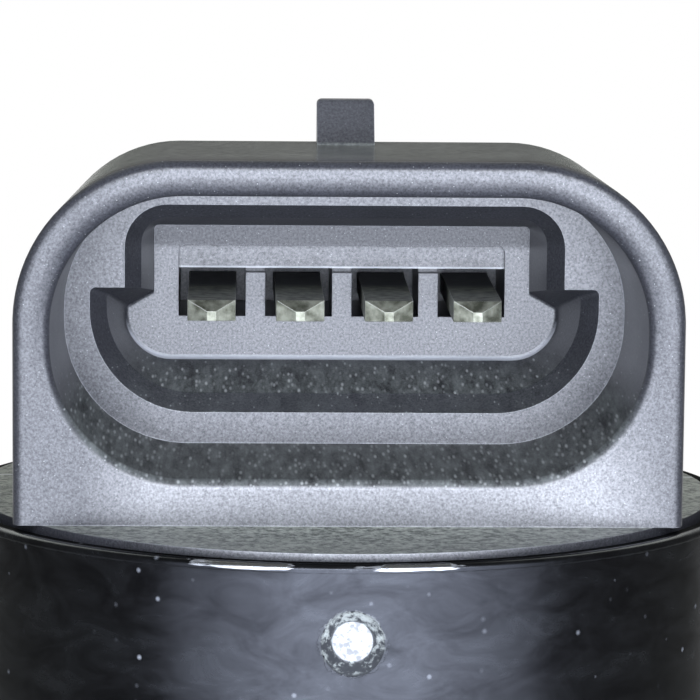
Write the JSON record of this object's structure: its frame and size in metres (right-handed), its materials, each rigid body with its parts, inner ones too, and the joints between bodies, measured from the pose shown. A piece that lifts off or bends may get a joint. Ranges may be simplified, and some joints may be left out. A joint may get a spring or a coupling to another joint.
{
  "type": "idle air control valve",
  "caption": "Flange-mounted idle air control valve: stepper motor in a black can, a moulded connector on top and a sprung tapered pintle below.",
  "frame": {"origin": "centre of the flange's mounting face, on the motor's axis", "axes": "+Z along the motor's axis, up from the flange to the connector; the connector's mouth faces -Y; the two mounting holes lie along X"},
  "size_m": [0.0574, 0.0376, 0.0833],
  "materials": {
    "cap_plastic": "moulded glass-filled, satin",
    "can_paint": "gloss black",
    "cast_alloy": "die cast",
    "black_rubber": "matt",
    "guide_plastic": "moulded",
    "bearing_bronze": "sintered",
    "bright_steel": "turned",
    "spring_steel": "drawn wire",
    "pintle_alloy": "turned",
    "hub_plastic": "moulded",
    "magnet_ferrite": "moulded ferrite",
    "terminal_tin": "tinned",
    "bobbin_plastic": "moulded",
    "coil_copper": "enamelled wire",
    "pole_steel": "pressed"
  },
  "bodies": {
    "housing": {"bobbin_1": "bobbin_plastic", "bobbin_2": "bobbin_plastic", "cap_seal": "black_rubber", "coil_1": "coil_copper", "coil_2": "coil_copper", "connector_cap": "cap_plastic", "front_bush": "bearing_bronze", "front_housing": "cast_alloy", "guide_bush": "guide_plastic", "lower_pole_plate_1": "pole_steel", "lower_pole_plate_2": "pole_steel", "motor_can": "can_paint", "o_ring": "black_rubber", "rear_bush": "bearing_bronze", "return_spring": "spring_steel", "spring_washer": "bright_steel", "terminal_1": "terminal_tin", "terminal_2": "terminal_tin", "terminal_3": "terminal_tin", "terminal_4": "terminal_tin", "thrust_washer": "bright_steel", "upper_pole_plate_1": "pole_steel", "upper_pole_plate_2": "pole_steel"},
    "rotor": {"rotor_hub": "hub_plastic", "rotor_magnet": "magnet_ferrite"},
    "valve": {"pintle": "pintle_alloy", "lead_screw": "bright_steel"}
  },
  "joints": [
    {"name": "rotor_spin", "type": "hinge", "parent": "housing", "child": "rotor", "pos_m": [0, 0, 0.02], "axis": [0, 0, 1], "range_deg": [-1440, 1440]},
    {"name": "pintle_slide", "type": "slide", "parent": "housing", "child": "valve", "axis": [0, 0, -1], "range_m": [-0.004, 0.004], "deforming": ["return_spring"]}
  ],
  "couplings": [
    {"joint": "pintle_slide", "follows": "rotor_spin", "m_per_rad": 0.000159}
  ]
}
